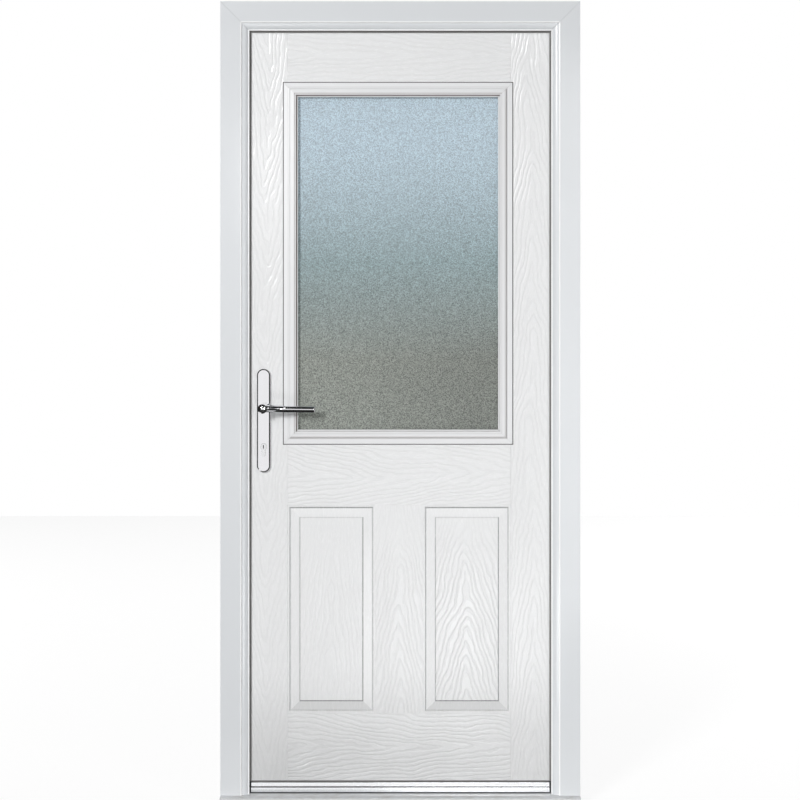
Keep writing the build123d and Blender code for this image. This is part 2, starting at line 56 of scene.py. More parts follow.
pvcu_white = (0.725, 0.745, 0.765, 1.0)
pvcu_roughness = 0.18
pvcu_peel_depth = 0.00004
# The sill's white is painted darker than the frame's, as shade
sill_shaded_white = (0.64, 0.655, 0.67, 1.0)
sill_dust = 0.35


def start_material(name):
    """A new node material, with its tree and its Principled shader."""
    material = bpy.data.materials.new(name)
    material.use_nodes = True
    return material, material.node_tree, material.node_tree.nodes["Principled BSDF"]


def dress(material, *names):
    """Gives the named solids this material in place of the plain one that they came with."""
    for name in names:
        nodes[name].data.materials.clear()
        nodes[name].data.materials.append(material)


def start_group(name, inputs, outputs):
    """An empty shader node group with these named sockets, and its two end nodes."""
    group = bpy.data.node_groups.new(name, "ShaderNodeTree")
    for label, kind, value in inputs:
        socket = group.interface.new_socket(label, in_out="INPUT", socket_type=kind)
        socket.default_value = value
    for label, kind in outputs:
        group.interface.new_socket(label, in_out="OUTPUT", socket_type=kind)
    return group, group.nodes.new("NodeGroupInput"), group.nodes.new("NodeGroupOutput")


def feed(tree, value, socket):
    """Links a socket to an input, or sets the input where the value is a plain one."""
    if isinstance(value, bpy.types.NodeSocket):
        tree.links.new(value, socket)
    else:
        socket.default_value = value


def place_group(tree, group, **values):
    """Puts a group into a material; each keyword is an input's name, with _ for a space."""
    node = tree.nodes.new("ShaderNodeGroup")
    node.node_tree = group
    for label, value in values.items():
        feed(tree, value, node.inputs[label.replace("_", " ")])
    return node


def calc(tree, operation, *values):
    """One step of arithmetic on numbers or sockets."""
    node = tree.nodes.new("ShaderNodeMath")
    node.operation = operation
    for socket, value in zip(node.inputs, values):
        feed(tree, value, socket)
    return node.outputs[0]


def remap(tree, value, low, high, new_low=0.0, new_high=1.0):
    """A value eased from one range into another and held at its ends."""
    node = tree.nodes.new("ShaderNodeMapRange")
    node.interpolation_type = "SMOOTHSTEP"
    for socket, number in zip(node.inputs, (value, low, high, new_low, new_high)):
        feed(tree, number, socket)
    return node.outputs[0]


def noise(tree, place, scale, detail=2.0):
    """Soft noise from 0 to 1 at this scale, in cells for each metre."""
    node = tree.nodes.new("ShaderNodeTexNoise")
    feed(tree, place, node.inputs["Vector"])
    node.inputs["Scale"].default_value = scale
    node.inputs["Detail"].default_value = detail
    return node.outputs["Fac"]


def vary(tree, value, amount, middle):
    """A value from 0 to 1 turned into one that swings by an amount about a middle."""
    centred = calc(tree, "SUBTRACT", value, 0.5)
    return calc(tree, "MULTIPLY_ADD", centred, amount, middle)


def blend_colour(tree, share, first, second, mode="MIX"):
    """Two colours mixed by a share, or multiplied by it."""
    node = tree.nodes.new("ShaderNodeMix")
    node.data_type = "RGBA"
    node.blend_type = mode
    feed(tree, share, node.inputs["Factor"])
    # A Mix node keeps its colour sockets after those for numbers and vectors
    feed(tree, first, node.inputs[6])
    feed(tree, second, node.inputs[7])
    return node.outputs[2]


def tone_colour(tree, colour, tone):
    """A colour made darker or lighter by a tone of about 1."""
    return blend_colour(tree, 1.0, colour, tone, "MULTIPLY")


def object_place(tree):
    """The place on the piece itself, which stays with it as it moves."""
    return tree.nodes.new("ShaderNodeTexCoord").outputs["Object"]


def split(tree, place):
    """The X, Y and Z of a place."""
    node = tree.nodes.new("ShaderNodeSeparateXYZ")
    feed(tree, place, node.inputs[0])
    return node.outputs[0], node.outputs[1], node.outputs[2]


def bump(tree, height, distance, shader):
    """Relief from a height of 0 to 1 that stands for this many metres."""
    node = tree.nodes.new("ShaderNodeBump")
    node.inputs["Distance"].default_value = distance
    tree.links.new(height, node.inputs["Height"])
    tree.links.new(node.outputs["Normal"], shader.inputs["Normal"])


def surface_group(name, tone_spread, gloss_spread, tone_noise, gloss_noise, relief_noise):
    """A group whose colour, gloss and relief follow three noises, each given by its scale and detail."""
    group, ins, outs = start_group(
        name,
        [
            ("Place", "NodeSocketVector", (0.0, 0.0, 0.0)),
            ("Colour", "NodeSocketColor", pvcu_white),
            ("Tone Spread", "NodeSocketFloat", tone_spread),
            ("Roughness", "NodeSocketFloat", pvcu_roughness),
            ("Gloss Spread", "NodeSocketFloat", gloss_spread),
        ],
        [("Colour", "NodeSocketColor"), ("Roughness", "NodeSocketFloat"), ("Height", "NodeSocketFloat")],
    )
    place, colour, tones, roughness, glosses = (ins.outputs[label] for label in (
        "Place", "Colour", "Tone Spread", "Roughness", "Gloss Spread",
    ))
    tone = vary(group, noise(group, place, *tone_noise), tones, 1.0)
    gloss = vary(group, noise(group, place, *gloss_noise), glosses, roughness)
    feed(group, tone_colour(group, colour, tone), outs.inputs["Colour"])
    feed(group, gloss, outs.inputs["Roughness"])
    feed(group, noise(group, place, *relief_noise), outs.inputs["Height"])
    return group


# The skin of moulded or extruded plastic: slow drift of tone, a change of gloss, and a fine orange peel
moulded_tone = 0.04
moulded_gloss = 0.1
drift = (2.5, 2.0)
shine = (14.0, 4.0)
orange_peel = (420.0, 2.0)
moulded_surface = surface_group("moulded surface", moulded_tone, moulded_gloss, drift, shine, orange_peel)

# Dust that has settled in patches on what faces up
dust_colour = (0.42, 0.39, 0.34, 1.0)
dust_scale = 38.0
dust_detail = 6.0
dust_bare = 0.35
dust_full = 0.75
dust_slope = 0.6
settled_dust, ins, outs = start_group(
    "settled dust",
    [
        ("Place", "NodeSocketVector", (0.0, 0.0, 0.0)),
        ("Colour", "NodeSocketColor", pvcu_white),
        ("Amount", "NodeSocketFloat", sill_dust),
    ],
    [("Colour", "NodeSocketColor"), ("Mask", "NodeSocketFloat")],
)
up = split(settled_dust, settled_dust.nodes.new("ShaderNodeNewGeometry").outputs["Normal"])[2]
patches = noise(settled_dust, ins.outputs["Place"], dust_scale, dust_detail)
patches = remap(settled_dust, patches, dust_bare, dust_full)
dust = calc(settled_dust, "MULTIPLY", remap(settled_dust, up, dust_slope, 1.0), patches)
dust = calc(settled_dust, "MULTIPLY", dust, ins.outputs["Amount"])
greyed = blend_colour(settled_dust, dust, ins.outputs["Colour"], dust_colour)
feed(settled_dust, greyed, outs.inputs["Colour"])
feed(settled_dust, dust, outs.inputs["Mask"])


def moulded_material(name, colour, roughness, relief, dust=0.0, **spreads):
    """A moulded or extruded plastic or rubber, with dust on what faces up where an amount is given."""
    material, tree, shader = start_material(name)
    place = object_place(tree)
    surface = place_group(
        tree, moulded_surface, Place=place, Colour=colour, Roughness=roughness, **spreads
    )
    shown = surface
    if dust:
        plain = surface.outputs["Colour"]
        shown = place_group(tree, settled_dust, Place=place, Colour=plain, Amount=dust)
    feed(tree, shown.outputs["Colour"], shader.inputs["Base Color"])
    feed(tree, surface.outputs["Roughness"], shader.inputs["Roughness"])
    bump(tree, surface.outputs["Height"], relief, shader)
    return material


sill_pvcu = moulded_material("shaded_white_pvcu_sill", sill_shaded_white, pvcu_roughness, pvcu_peel_depth, sill_dust)
dress(sill_pvcu, "sill", "sill_end_caps")


# Outer frame
# Two jambs and a head of white PVC-u extrusion, cut at 45 degrees and welded at the top corners.
# The weld is trimmed to a fine groove across each corner.
# The nose and the lip come out of the die glossier, and a whiter highlight is painted along them.

# The whiter colour along the nose and the lip is a painted highlight
bead_highlight_white = (0.98, 0.985, 0.99, 1.0)
bead_roughness = 0.12
bead_half = 0.0019
nose_from_edge = 0.0530
lip_from_edge = 0.0717
weld_width = 0.0022
weld_depth = 0.0005
weld_shade = 0.06
line_core = 0.6
line_fade = 1.2
frame_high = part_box("frame_head")[1]
weld_offset = frame_high.x - frame_high.z


def choose(tree, share, first, second):
    """The first value where the share is 0, the second where it is 1."""
    node = tree.nodes.new("ShaderNodeMix")
    feed(tree, share, node.inputs[0])
    feed(tree, first, node.inputs[2])
    feed(tree, second, node.inputs[3])
    return node.outputs[0]


def corner_line(tree, place, centre_x, centre_z, offset, width):
    """1 along the 45 degree lines on which run and rise from the centre lines differ by an offset."""
    x, _, z = split(tree, place)
    run = calc(tree, "ABSOLUTE", calc(tree, "SUBTRACT", x, centre_x))
    rise = calc(tree, "ABSOLUTE", calc(tree, "SUBTRACT", z, centre_z))
    across = calc(tree, "ABSOLUTE", calc(tree, "SUBTRACT", calc(tree, "SUBTRACT", run, rise), offset))
    return remap(tree, across, 0.0, width, 1.0, 0.0)


def line_at(tree, value, middle, half):
    """1 where a value is at the middle of a line, easing to 0 at its edges."""
    distance = calc(tree, "ABSOLUTE", calc(tree, "SUBTRACT", value, middle))
    return remap(tree, distance, half * line_core, half * line_fade, 1.0, 0.0)


frame_pvcu, tree, shader = start_material("white_pvcu_frame")
place = object_place(tree)
x, y, z = split(tree, place)
from_side = calc(tree, "SUBTRACT", frame_high.x, calc(tree, "ABSOLUTE", x))
from_edge = calc(tree, "MINIMUM", from_side, calc(tree, "SUBTRACT", frame_high.z, z))
# Painted highlight along the nose and the lip
nose = line_at(tree, from_edge, nose_from_edge, bead_half)
bead_highlights = calc(tree, "MAXIMUM", nose, line_at(tree, from_edge, lip_from_edge, bead_half))
surface = place_group(tree, moulded_surface, Place=place, Colour=pvcu_white, Roughness=pvcu_roughness)
weld = corner_line(tree, place, 0.0, 0.0, weld_offset, weld_width)
weld_tone = calc(tree, "MULTIPLY_ADD", weld, -weld_shade, 1.0)
highlighted = blend_colour(tree, bead_highlights, surface.outputs["Colour"], bead_highlight_white)
feed(tree, tone_colour(tree, highlighted, weld_tone), shader.inputs["Base Color"])
gloss = choose(tree, bead_highlights, surface.outputs["Roughness"], bead_roughness)
feed(tree, gloss, shader.inputs["Roughness"])
peel = calc(tree, "MULTIPLY", surface.outputs["Height"], pvcu_peel_depth / weld_depth)
bump(tree, calc(tree, "SUBTRACT", peel, weld), weld_depth, shader)
dress(frame_pvcu, "lock_jamb", "hinge_jamb", "frame_head")


# Weather seals
# Soft black bulb seals pushed into a groove behind the frame's lip and along the threshold.
# The rubber is matt, and a little grey with dust.

rubber_black = (0.16, 0.155, 0.15, 1.0)
rubber_roughness = 0.62
rubber_relief = 0.0001
rubber_tone = 0.5
rubber_gloss = 0.2
seal_dust = 0.25

seal_rubber = moulded_material(
    "black_rubber_seal", rubber_black, rubber_roughness, rubber_relief, seal_dust,
    Tone_Spread=rubber_tone, Gloss_Spread=rubber_gloss,
)
dress(seal_rubber, "lock_jamb_seal", "hinge_jamb_seal", "head_seal", "threshold_seal")


# Threshold
# A low aluminium extrusion, bright anodised, screwed to the sill between two black nylon end blocks.
# Fine drawing lines run along it, and feet have dulled the top of its tread.
# A bead of black sealant under its front edge is a dark strip painted where the shadow under the threshold
# falls.

aluminium_grey = (0.90, 0.91, 0.93, 1.0)
aluminium_roughness = 0.22
aluminium_gloss = 0.12
along_threshold = (0.3, 1500.0, 1500.0)
drawn_depth = 0.00001
tread_dust = 0.06
dust_dulling = 0.5
nylon_black = (0.020, 0.021, 0.023, 1.0)
nylon_roughness = 0.5
nylon_tone = 0.4
sealant_back = 0.003
sealant_front = 0.0012
sealant_height = 0.0028
smooth_angle = math.radians(35.0)

# Fine parallel lines left by drawing, brushing or grinding: they change the tone, gloss and relief
drawn_tone = 0.15
drawn_gloss = 0.15
fine_lines = (1.0, 3.0)
drawn_lines = surface_group("drawn lines", drawn_tone, drawn_gloss, fine_lines, fine_lines, fine_lines)


def stretch(tree, place, scale):
    """A place multiplied along each axis, so that a pattern is drawn out or squeezed."""
    node = tree.nodes.new("ShaderNodeVectorMath")
    node.operation = "MULTIPLY"
    feed(tree, place, node.inputs[0])
    node.inputs[1].default_value = scale
    return node.outputs["Vector"]


def drawn_material(name, colour, roughness, scale, relief=0.0, dust=0.0, **spreads):
    """A metal with fine lines at this scale along each axis, and dust where an amount is given."""
    material, tree, shader = start_material(name)
    place = object_place(tree)
    lined = stretch(tree, place, scale)
    surface = place_group(
        tree, drawn_lines, Place=lined, Colour=colour, Roughness=roughness, **spreads
    )
    shown = surface
    gloss = surface.outputs["Roughness"]
    if dust:
        plain = surface.outputs["Colour"]
        shown = place_group(tree, settled_dust, Place=place, Colour=plain, Amount=dust)
        gloss = calc(tree, "MULTIPLY_ADD", shown.outputs["Mask"], dust_dulling, gloss)
    feed(tree, shown.outputs["Colour"], shader.inputs["Base Color"])
    feed(tree, gloss, shader.inputs["Roughness"])
    shader.inputs["Metallic"].default_value = 1.0
    if relief:
        bump(tree, surface.outputs["Height"], relief, shader)
    return material


threshold_metal = drawn_material(
    "bright_aluminium_threshold", aluminium_grey, aluminium_roughness, along_threshold, drawn_depth,
    tread_dust, Gloss_Spread=aluminium_gloss,
)
dress(threshold_metal, "threshold")

# The same black serves the real end blocks and the painted shadow of the sealant strip
nylon_and_shadow_black = moulded_material(
    "black_nylon_and_shadow", nylon_black, nylon_roughness, rubber_relief, Tone_Spread=nylon_tone
)
dress(nylon_and_shadow_black, "threshold_end_blocks")


def new_piece(name, mesh, material, body):
    """An object from a bmesh, smooth shaded, with its material, on the body that carries it."""
    data = bpy.data.meshes.new(name)
    bmesh.ops.recalc_face_normals(mesh, faces=mesh.faces[:])
    mesh.to_mesh(data)
    mesh.free()
    data.shade_smooth()
    data.set_sharp_from_angle(angle=smooth_angle)
    data.materials.append(material)
    piece = bpy.data.objects.new(name, data)
    bpy.context.scene.collection.objects.link(piece)
    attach(piece, body)
    return piece


def join_rings(mesh, low, high):
    """A band of faces between two rings of as many corners."""
    for first in range(len(low)):
        second = (first + 1) % len(low)
        mesh.faces.new((low[first], low[second], high[second], high[first]))


def add_tube(mesh, rings):
    """A closed solid through rings of corners, one after the other, flat at both ends."""
    rings = [[mesh.verts.new(corner) for corner in ring] for ring in rings]
    for low, high in zip(rings, rings[1:]):
        join_rings(mesh, low, high)
    mesh.faces.new(rings[0])
    mesh.faces.new(rings[-1])


def add_run(mesh, section, left, right):
    """A straight run along X of a closed section of Y and Z places."""
    add_tube(mesh, [[(x, y, z) for y, z in section] for x in (left, right)])


# The sealant fills the undercut along the front foot, tooled hollow, and its black stands in as painted
# shadow
tread_low, tread_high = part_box("threshold")
sealant_middle = (sealant_front + sealant_back) / 2.0
shadow_sealant_mesh = bmesh.new()
add_run(
    shadow_sealant_mesh,
    [
        (tread_low.y + sealant_back, tread_low.z),
        (tread_low.y + sealant_front, tread_low.z),
        (tread_low.y + sealant_middle, tread_low.z + sealant_height / 2.0),
        (tread_low.y + sealant_front, tread_low.z + sealant_height),
        (tread_low.y + sealant_back, tread_low.z + sealant_height),
    ],
    tread_low.x, tread_high.x,
)
new_piece("threshold_shadow_sealant", shadow_sealant_mesh, nylon_and_shadow_black, "frame")


# Keeps
# Pressed steel plates let into the lock jamb, zinc plated, each held by two countersunk screws.
# The plating is a dull grey with fine marks from rolling, and the screws have cross recesses.

steel_grey = (0.56, 0.57, 0.58, 1.0)
steel_roughness = 0.36
steel_tone = 0.25
along_steel = (900.0, 900.0, 22.0)
rolled_depth = 0.00004
screw_radius = 0.0034
screw_crown = 0.82
screw_dome = 0.0006
recess_reach = 0.0019
recess_half = 0.0005
recess_depth = 0.0012
keep_screw_inset = 0.011
screw_sides = 24
keeps = ("upper_hook_keep", "latch_keep", "lower_hook_keep")

plated_steel = drawn_material(
    "zinc_plated_steel", steel_grey, steel_roughness, along_steel, rolled_depth, Tone_Spread=steel_tone
)
dress(plated_steel, *keeps)


def circle(sides, radius, height):
    """The corners of a level ring."""
    angles = [2.0 * math.pi * side / sides for side in range(sides)]
    return [Vector((radius * math.cos(a), radius * math.sin(a), height)) for a in angles]


def pose_along(place, facing):
    """A pose at a place, with its Z turned to look along a direction."""
    turn = Vector((0.0, 0.0, 1.0)).rotation_difference(Vector(facing)).to_matrix().to_4x4()
    return Matrix.Translation(place) @ turn


def add_screw(mesh, place, facing):
    """A countersunk screw head at a place, looking along a direction, with a cross recess in its dome."""
    pose = pose_along(place, facing)

    def ring(points):
        made = [mesh.verts.new(pose @ point) for point in points]
        return made, [mesh.edges.new(pair) for pair in zip(made, made[1:] + made[:1])]

    rim, _ = ring(circle(screw_sides, screw_radius, 0.0))
    crown, crown_edges = ring(circle(screw_sides, screw_radius * screw_crown, screw_dome))
    arm = ((recess_reach, -recess_half), (recess_reach, recess_half), (recess_half, recess_half))
    cross = []
    for quarter in range(4):
        spin = Matrix.Rotation(quarter * math.pi / 2.0, 3, "Z")
        cross += [spin @ Vector((x, y, screw_dome)) for x, y in arm]
    mouth, mouth_edges = ring(cross)
    floor, _ = ring([point - Vector((0.0, 0.0, recess_depth)) for point in cross])
    bmesh.ops.triangle_fill(mesh, use_beauty=True, edges=crown_edges + mouth_edges)
    join_rings(mesh, rim, crown)
    join_rings(mesh, floor, mouth)
    mesh.faces.new(floor)


keep_screws = bmesh.new()
for keep in keeps:
    low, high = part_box(keep)
    for screw_z in (low.z + keep_screw_inset, high.z - keep_screw_inset):
        add_screw(keep_screws, (high.x, (low.y + high.y) / 2.0, screw_z), (1.0, 0.0, 0.0))
new_piece("keep_screws", keep_screws, plated_steel, "frame")


# Leaf core and edge bands
# A laminated timber core, closed on all four edges by a white plastic band.
# The core is out of sight except in the holes for the lock.

timber_light = (0.50, 0.34, 0.19, 1.0)
timber_dark = (0.30, 0.185, 0.095, 1.0)
timber_roughness = 0.7
timber_relief = 0.0002
core_rings = 60.0
core_lean = 4.0
pore_tint = 0.35
ring_gloss = 0.1
band_white = (0.79, 0.80, 0.82, 1.0)
band_roughness = 0.42
band_gloss = 0.15

# Figure of a flat-sawn board: nested arches of yearly rings, with short pores along them
default_rings = 85.0
default_lean = 20.0
arch_round = 0.006
wander_size = 0.028
wander_amount = 1.9
shiver_amount = 0.45
ring_edge_low = -0.2
ring_edge_high = 0.95
pore_edge_low = 0.52
pore_edge_high = 0.66
wood_figure, ins, outs = start_group(
    "wood figure",
    [
        ("Along", "NodeSocketFloat", 0.0),
        ("Across", "NodeSocketFloat", 0.0),
        ("Rings", "NodeSocketFloat", default_rings),
        ("Lean", "NodeSocketFloat", default_lean),
        ("Seed", "NodeSocketFloat", 0.0),
    ],
    [("Rings", "NodeSocketFloat"), ("Pores", "NodeSocketFloat")],
)
along = ins.outputs["Along"]
across = ins.outputs["Across"]


def board_noise(along_scale, across_scale, detail):
    """Noise on the board, drawn out along it and shifted by the board's own seed."""
    node = wood_figure.nodes.new("ShaderNodeCombineXYZ")
    feed(wood_figure, calc(wood_figure, "MULTIPLY", across, across_scale), node.inputs[0])
    feed(wood_figure, calc(wood_figure, "MULTIPLY", along, along_scale), node.inputs[1])
    feed(wood_figure, ins.outputs["Seed"], node.inputs[2])
    return noise(wood_figure, node.outputs[0], 1.0, detail)


sway = board_noise(along_scale=3.0, across_scale=5.0, detail=1.0)
middle = vary(wood_figure, sway, wander_size * 2.0, across)
square = calc(wood_figure, "MULTIPLY", middle, middle)
reach = calc(wood_figure, "SQRT", calc(wood_figure, "ADD", square, arch_round * arch_round))
phase = calc(wood_figure, "MULTIPLY", reach, ins.outputs["Rings"])
phase = calc(wood_figure, "MULTIPLY_ADD", along, ins.outputs["Lean"], phase)
wander = board_noise(along_scale=7.0, across_scale=16.0, detail=2.0)
phase = vary(wood_figure, wander, wander_amount * 2.0, phase)
shiver = board_noise(along_scale=45.0, across_scale=70.0, detail=1.0)
phase = vary(wood_figure, shiver, shiver_amount, phase)
wave = calc(wood_figure, "SINE", calc(wood_figure, "MULTIPLY", phase, 2.0 * math.pi))
feed(wood_figure, remap(wood_figure, wave, ring_edge_low, ring_edge_high), outs.inputs["Rings"])
pores = board_noise(along_scale=60.0, across_scale=750.0, detail=2.0)
feed(wood_figure, remap(wood_figure, pores, pore_edge_low, pore_edge_high), outs.inputs["Pores"])

core_timber, tree, shader = start_material("laminated_timber_core")
x, y, z = split(tree, object_place(tree))
figure = place_group(tree, wood_figure, Along=z, Across=x, Rings=core_rings, Lean=core_lean)
pith = blend_colour(tree, figure.outputs["Rings"], timber_light, timber_dark)
pore_share = calc(tree, "MULTIPLY", figure.outputs["Pores"], pore_tint)
feed(tree, blend_colour(tree, pore_share, pith, timber_dark), shader.inputs["Base Color"])
gloss = calc(tree, "MULTIPLY_ADD", figure.outputs["Rings"], -ring_gloss, timber_roughness)
feed(tree, gloss, shader.inputs["Roughness"])
bump(tree, figure.outputs["Pores"], timber_relief, shader)
dress(core_timber, "door_core")

band_plastic = moulded_material(
    "white_edge_band", band_white, band_roughness, pvcu_peel_depth, Gloss_Spread=band_gloss
)
dress(band_plastic, "lock_edge", "hinge_edge", "top_edge", "bottom_edge")


# Leaf skins
# Two sheets of white glass-reinforced plastic, hot pressed with two raised panels and the grain of boards.
# Each board has its own figure, upright on stiles, muntin and panels and level on the rails.
# The press leaves a sharp quirk round each panel and round its raised field, where shade is painted in.

skin_white = (0.82, 0.825, 0.83, 1.0)
skin_roughness = 0.22
skin_tone = 0.03
skin_gloss = 0.12
skin_relief = 0.0005
ledge_dust = 0.3
ring_relief = 0.85
ring_shade = 0.03
pore_relief = 0.30
pore_dulling = 0.1
joint_relief = 0.9
joint_width = 0.0014
joint_shade = 0.03
quirk_half = 0.0014
# Painted shade in the quirks and on the lower bevel, weighted by side as light from above on the lock side
# would fall
outer_quirk_inset = 0.0070
outer_side_shade = 0.24
outer_foot_shade = 0.14
outer_top_shade = 0.46
field_quirk_inset = 0.0313
field_lock_shade = 0.32
field_hinge_shade = 0.50
field_foot_shade = 0.56
field_top_shade = 0.14
bevel_press = 0.3
bevel_foot_shade = 0.13
head_press = 0.25
head_fade = 0.24
# Painted shade towards the foot of the outside
painted_foot_shade_height = 0.30
painted_foot_shade_lock_shade = 0.24
painted_foot_shade_hinge_shade = 0.16
painted_foot_shade_patch_scale = 9.0
painted_foot_shade_patch_detail = 4.0
painted_foot_shade_thin = 0.75
painted_foot_shade_thick = 1.25
lock_stile = 0.110
hinge_stile = 0.116
muntin_width = 0.124
bottom_rail = 0.173
panel_height = 0.534
lock_rail = 0.158
top_rail = 0.145
seed_step = 3.7
first_upright_seed = 0.0
first_level_seed = 20.0
leaf_low, leaf_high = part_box("outer_skin")
stile_joint = leaf_low.x + lock_stile
hinge_joint = leaf_high.x - hinge_stile
muntin_left = (stile_joint + hinge_joint - muntin_width) / 2.0
muntin_right = muntin_left + muntin_width
panel_foot = leaf_low.z + bottom_rail
panel_top = panel_foot + panel_height
panel_centre_z = panel_foot + panel_height / 2.0
glazing_foot = panel_top + lock_rail
glazing_top = leaf_high.z - top_rail

# Stile, panel, muntin, panel and stile from the lock side: their edges, and the lean and depth of the grain
upright_boards = [
    dict(low=leaf_low.x, high=stile_joint, lean=-17.0, press=1.0),
    dict(low=stile_joint, high=muntin_left, lean=7.0, press=0.8),
    dict(low=muntin_left, high=muntin_right, lean=19.0, press=1.6),
    dict(low=muntin_right, high=hinge_joint, lean=26.0, press=2.2),
    dict(low=hinge_joint, high=leaf_high.x, lean=15.0, press=1.0),
]
# Bottom rail, lock rail and top rail, in the same way
level_boards = [
    dict(low=leaf_low.z, high=panel_foot, lean=9.0, press=1.4),
    dict(low=panel_top, high=glazing_foot, lean=14.0, press=1.2),
    dict(low=glazing_top, high=leaf_high.z, lean=8.0, press=1.0),
]


def between(tree, value, low, high):
    """1 where a value lies between two limits, 0 elsewhere."""
    above = calc(tree, "GREATER_THAN", value, low)
    return calc(tree, "MULTIPLY", above, calc(tree, "LESS_THAN", value, high))


def lay_boards(tree, value, boards, within, first_seed):
    """Where a row of boards lies, and the middle, lean, seed and depth of the board at each place."""
    covered = 0.0
    middle = 0.0
    lean = 0.0
    seed = first_seed
    press = 0.0
    for count, board in enumerate(boards):
        share = calc(tree, "MULTIPLY", between(tree, value, board["low"], board["high"]), within)
        covered = calc(tree, "ADD", covered, share)
        middle = calc(tree, "MULTIPLY_ADD", share, (board["low"] + board["high"]) / 2.0, middle)
        lean = calc(tree, "MULTIPLY_ADD", share, board["lean"], lean)
        seed = calc(tree, "MULTIPLY_ADD", share, seed_step * count, seed)
        press = calc(tree, "MULTIPLY_ADD", share, board["press"], press)
    return covered, middle, lean, seed, press


def nearest_side(tree, x, z, centre_x, centre_z, half_x, half_z):
    """How far inside a rectangle a place is, and three marks for the side that is nearest to it."""
    from_middle = calc(tree, "SUBTRACT", x, centre_x)
    from_centre = calc(tree, "SUBTRACT", z, centre_z)
    in_x = calc(tree, "SUBTRACT", half_x, calc(tree, "ABSOLUTE", from_middle))
    in_z = calc(tree, "SUBTRACT", half_z, calc(tree, "ABSOLUTE", from_centre))
    beside = calc(tree, "LESS_THAN", in_x, in_z)
    hinge_side = calc(tree, "GREATER_THAN", from_middle, 0.0)
    upper = calc(tree, "GREATER_THAN", from_centre, 0.0)
    return calc(tree, "MINIMUM", in_x, in_z), (beside, hinge_side, upper)


def side_shade(tree, sides, lock=0.0, hinge=0.0, foot=0.0, top=0.0):
    """The shade that belongs to the nearest side of a panel or frame."""
    beside, hinge_side, upper = sides
    upright = choose(tree, hinge_side, lock, hinge)
    return choose(tree, beside, choose(tree, upper, foot, top), upright)


pressed_skin, tree, shader = start_material("white_grained_skin")
place = object_place(tree)
x, y, z = split(tree, place)
joined = between(tree, x, stile_joint, hinge_joint)
_, upright_middle, upright_lean, upright_seed, upright_press = lay_boards(
    tree, x, upright_boards, 1.0, first_upright_seed
)
level, level_middle, level_lean, level_seed, level_press = lay_boards(
    tree, z, level_boards, joined, first_level_seed
)
upright_across = calc(tree, "SUBTRACT", x, upright_middle)
level_across = calc(tree, "SUBTRACT", z, level_middle)
figure = place_group(
    tree, wood_figure,
    Along=choose(tree, level, z, x),
    Across=choose(tree, level, upright_across, level_across),
    Lean=choose(tree, level, upright_lean, level_lean),
    Seed=choose(tree, level, upright_seed, level_seed),
)
joints = 0.0
for joint in (stile_joint, hinge_joint):
    distance = calc(tree, "ABSOLUTE", calc(tree, "SUBTRACT", x, joint))
    joints = calc(tree, "MAXIMUM", joints, remap(tree, distance, 0.0, joint_width, 1.0, 0.0))

# Painted shade in the quirks and on the lower bevel, heaviest along the field's foot and hinge side and
# under the panel's head, as if lit from above on the lock side
painted_quirk_shade = 0.0
bevels = 0.0
for left, right in ((stile_joint, muntin_left), (muntin_right, hinge_joint)):
    inset, sides = nearest_side(
        tree, x, z, (left + right) / 2.0, panel_centre_z, (right - left) / 2.0, panel_height / 2.0
    )
    outer_shade = side_shade(
        tree, sides, outer_side_shade, outer_side_shade, outer_foot_shade, outer_top_shade
    )
    field_shade = side_shade(
        tree, sides, field_lock_shade, field_hinge_shade, field_foot_shade, field_top_shade
    )
    for mark, mark_shade in (
        (line_at(tree, inset, outer_quirk_inset, quirk_half), outer_shade),
        (line_at(tree, inset, field_quirk_inset, quirk_half), field_shade),
        (between(tree, inset, outer_quirk_inset, field_quirk_inset),
         side_shade(tree, sides, foot=bevel_foot_shade)),
    ):
        painted_quirk_shade = calc(tree, "MULTIPLY_ADD", mark, mark_shade, painted_quirk_shade)
    bevels = calc(tree, "ADD", bevels, between(tree, inset, 0.0, field_quirk_inset))

# The grain is shallow on the bevels and at the head of panels and muntin, and full lower down
head_depth = remap(tree, z, panel_top - head_fade, panel_top, 1.0, head_press)
upright_press = calc(tree, "MULTIPLY", upright_press, choose(tree, joined, 1.0, head_depth))
press = choose(tree, level, upright_press, level_press)
press = choose(tree, bevels, press, bevel_press)
pressed_rings = calc(tree, "MULTIPLY", figure.outputs["Rings"], press)

# Painted shade darkens the foot of the outside in soft patches, most on the lock side
painted_foot_shade = remap(tree, z, leaf_low.z, leaf_low.z + painted_foot_shade_height, 1.0, 0.0)
painted_foot_shade_depth = remap(tree, x, leaf_low.x, leaf_high.x, painted_foot_shade_lock_shade, painted_foot_shade_hinge_shade)
painted_foot_shade_patches = noise(tree, place, painted_foot_shade_patch_scale, painted_foot_shade_patch_detail)
painted_foot_shade_patches = remap(tree, painted_foot_shade_patches, 0.0, 1.0, painted_foot_shade_thin, painted_foot_shade_thick)
outside = calc(tree, "LESS_THAN", y, leaf_high.y)
for share in (painted_foot_shade_depth, painted_foot_shade_patches, outside):
    painted_foot_shade = calc(tree, "MULTIPLY", painted_foot_shade, share)

